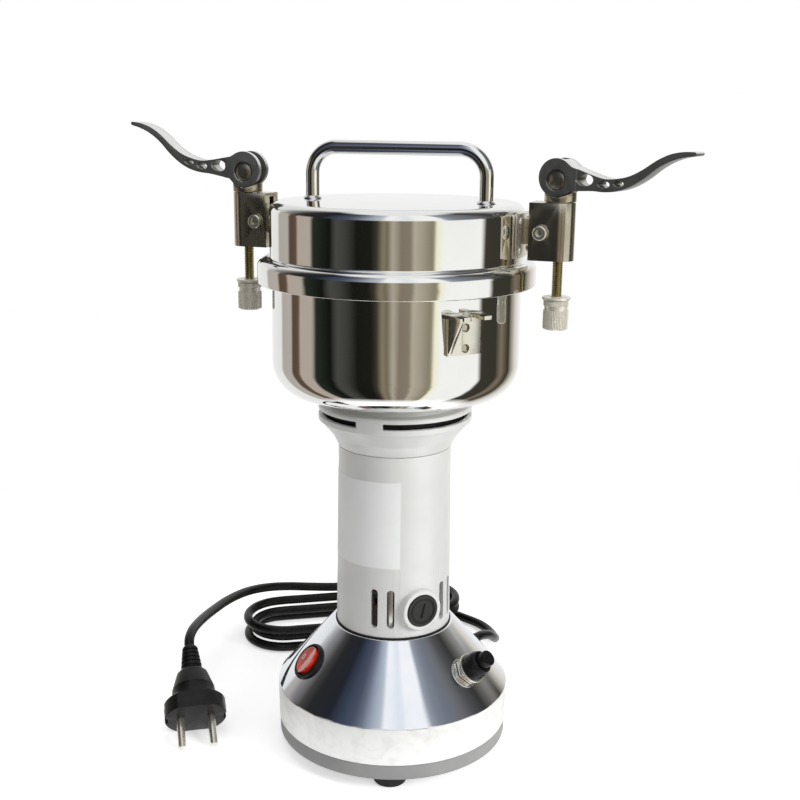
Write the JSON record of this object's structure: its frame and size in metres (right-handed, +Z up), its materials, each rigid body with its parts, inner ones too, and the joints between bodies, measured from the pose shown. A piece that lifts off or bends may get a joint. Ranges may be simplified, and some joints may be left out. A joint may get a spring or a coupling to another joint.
{
  "type": "electric swing grinder",
  "caption": "Small upright electric grain and spice grinder: round base, motor column, steel bowl with blades, lift-off lid with handle and cam clamps on swing rods, mains cord with plug.",
  "frame": {"origin": "centre of the base on the table, under the feet", "axes": "+Z up; the two lid clamps lie on the X axis; the switch and the breaker face the -Y side"},
  "size_m": [0.3338, 0.268, 0.3705],
  "materials": {
    "polished_steel": "mirror-polished stainless steel",
    "spun_aluminium": "polished cone, satin edge band with light scuffs",
    "silver_paint": "satin silver-white paint",
    "grey_plate": "plain mid grey",
    "black_rubber": "matt black",
    "cord_jacket": "black, slight sheen",
    "black_plastic": "black moulded plastic",
    "red_lens": "translucent red, glossy",
    "copper": "varnished copper",
    "carbon": "black carbon",
    "lamination": "stacked electrical steel",
    "bearing_steel": "ground steel",
    "blade_steel": "ground stainless steel",
    "smoked_nickel": "dark smoked nickel, polished",
    "bronze": "dark bronze-toned plating",
    "yellow_zinc": "yellow zinc plating",
    "satin_nickel": "satin nickel plating",
    "gunmetal": "dark cast sides, bright top edge",
    "clear_silicone": "milky silicone"
  },
  "bodies": {
    "base": {"base_shell": "spun_aluminium", "base_plate": "grey_plate", "foot_1": "black_rubber", "foot_2": "black_rubber", "foot_3": "black_rubber", "foot_4": "black_rubber", "motor_housing": "silver_paint", "neck_flange": "silver_paint", "stator_core": "lamination", "field_winding": "copper", "lower_bearing": "bearing_steel", "upper_bearing": "bearing_steel", "brush_cap_1": "black_plastic", "brush_cap_2": "black_plastic", "carbon_brush_1": "carbon", "carbon_brush_2": "carbon", "switch_bezel": "black_plastic", "breaker_nut": "satin_nickel", "breaker_body": "black_plastic", "bowl": "polished_steel", "bowl_lug_1": "polished_steel", "bowl_lug_2": "polished_steel", "strain_relief": "black_rubber", "cord_tail": "cord_jacket", "cord_hank": "cord_jacket", "cord_lead": "cord_jacket", "plug_body": "cord_jacket", "plug_pin_1": "satin_nickel", "plug_pin_2": "satin_nickel"},
    "rotor": {"motor_shaft": "bearing_steel", "armature_core": "lamination", "commutator": "copper", "cooling_fan": "black_plastic", "blade_lower": "blade_steel", "blade_spacer": "blade_steel", "blade_upper": "blade_steel", "blade_nut": "blade_steel"},
    "rocker": {"switch_rocker": "red_lens"},
    "reset": {"reset_button": "black_plastic"},
    "seal": {"lid_seal": "clear_silicone"},
    "lid": {"lid": "polished_steel", "lid_handle": "polished_steel", "lid_strap_right": "satin_nickel", "lid_strap_left": "satin_nickel"},
    "yoke_right": {"clamp_yoke_right": "smoked_nickel", "pivot_bolt_right": "satin_nickel"},
    "seat_right": {"cam_seat_right": "bronze"},
    "rod_right": {"clamp_rod_right": "yellow_zinc", "cam_pin_right": "satin_nickel"},
    "lever_right": {"cam_lever_right": "gunmetal"},
    "washer_right": {"nut_washer_right": "satin_nickel"},
    "nut_right": {"knurled_nut_right": "satin_nickel"},
    "yoke_left": {"clamp_yoke_left": "smoked_nickel", "pivot_bolt_left": "satin_nickel"},
    "seat_left": {"cam_seat_left": "bronze"},
    "rod_left": {"clamp_rod_left": "yellow_zinc", "cam_pin_left": "satin_nickel"},
    "lever_left": {"cam_lever_left": "gunmetal"},
    "washer_left": {"nut_washer_left": "satin_nickel"},
    "nut_left": {"knurled_nut_left": "satin_nickel"}
  },
  "joints": [
    {"name": "rotor_spin", "type": "hinge", "parent": "base", "child": "rotor", "pos_m": [0, 0, 0.2], "axis": [0, 0, 1], "continuous": true},
    {"name": "switch_rock", "type": "hinge", "parent": "base", "child": "rocker", "pos_m": [-0.04091, -0.03748, 0.05866], "axis": [0.4864, 0.4457, 0.7515], "range_deg": [0, 14]},
    {"name": "reset_press", "type": "slide", "parent": "base", "child": "reset", "axis": [-0.7187, 0.2197, -0.6597], "range_m": [0, 0.0025], "stiffness_N_per_m": 900, "springref_m": -0.0015},
    {"name": "lid_lift", "type": "slide", "parent": "base", "child": "seal", "axis": [0, 0, 1], "range_m": [0, 0.12]},
    {"name": "lid_turn", "type": "hinge", "parent": "seal", "child": "lid", "pos_m": [0, 0, 0.3], "axis": [0, 0, 1], "continuous": true},
    {"name": "clamp_swing_right", "type": "hinge", "parent": "lid", "child": "yoke_right", "pos_m": [0.084, 0, 0.315], "axis": [0, -1, 0], "range_deg": [-12, 12]},
    {"name": "lever_swivel_right", "type": "hinge", "parent": "yoke_right", "child": "seat_right", "pos_m": [0.0926, 0, 0.334], "axis": [0, 0, 1], "range_deg": [-70, 100]},
    {"name": "cam_lift_right", "type": "slide", "parent": "seat_right", "child": "rod_right", "axis": [0, 0, 1], "range_m": [0, 0.00211]},
    {"name": "lever_close_right", "type": "hinge", "parent": "rod_right", "child": "lever_right", "pos_m": [0.0926, 0, 0.343], "axis": [-0.2756, -0.9613, 0], "range_deg": [0, 120]},
    {"name": "nut_feed_right", "type": "slide", "parent": "rod_right", "child": "washer_right", "axis": [0, 0, 1], "range_m": [-0.007, 0.003]},
    {"name": "nut_spin_right", "type": "hinge", "parent": "washer_right", "child": "nut_right", "pos_m": [0.0926, 0, 0.27], "axis": [0, 0, 1], "range_deg": [-2521, 1081]},
    {"name": "clamp_swing_left", "type": "hinge", "parent": "lid", "child": "yoke_left", "pos_m": [-0.084, 0, 0.315], "axis": [0, 1, 0], "range_deg": [-12, 12]},
    {"name": "lever_swivel_left", "type": "hinge", "parent": "yoke_left", "child": "seat_left", "pos_m": [-0.0926, 0, 0.334], "axis": [0, 0, 1], "range_deg": [-85, 85]},
    {"name": "cam_lift_left", "type": "slide", "parent": "seat_left", "child": "rod_left", "axis": [0, 0, 1], "range_m": [0, 0.00196]},
    {"name": "lever_close_left", "type": "hinge", "parent": "rod_left", "child": "lever_left", "pos_m": [-0.0926, 0, 0.343], "axis": [0, 1, 0], "range_deg": [0, 111.5]},
    {"name": "nut_feed_left", "type": "slide", "parent": "rod_left", "child": "washer_left", "axis": [0, 0, 1], "range_m": [-0.007, 0.003]},
    {"name": "nut_spin_left", "type": "hinge", "parent": "washer_left", "child": "nut_left", "pos_m": [-0.0926, 0, 0.27], "axis": [0, 0, 1], "range_deg": [-2521, 1081]}
  ],
  "couplings": [
    {"joint": "lever_close_right", "follows": "cam_lift_right", "rad_per_m": 990.1},
    {"joint": "nut_spin_right", "follows": "nut_feed_right", "rad_per_m": 6283.2},
    {"joint": "lever_close_left", "follows": "cam_lift_left", "rad_per_m": 990.1},
    {"joint": "nut_spin_left", "follows": "nut_feed_left", "rad_per_m": 6283.2}
  ]
}
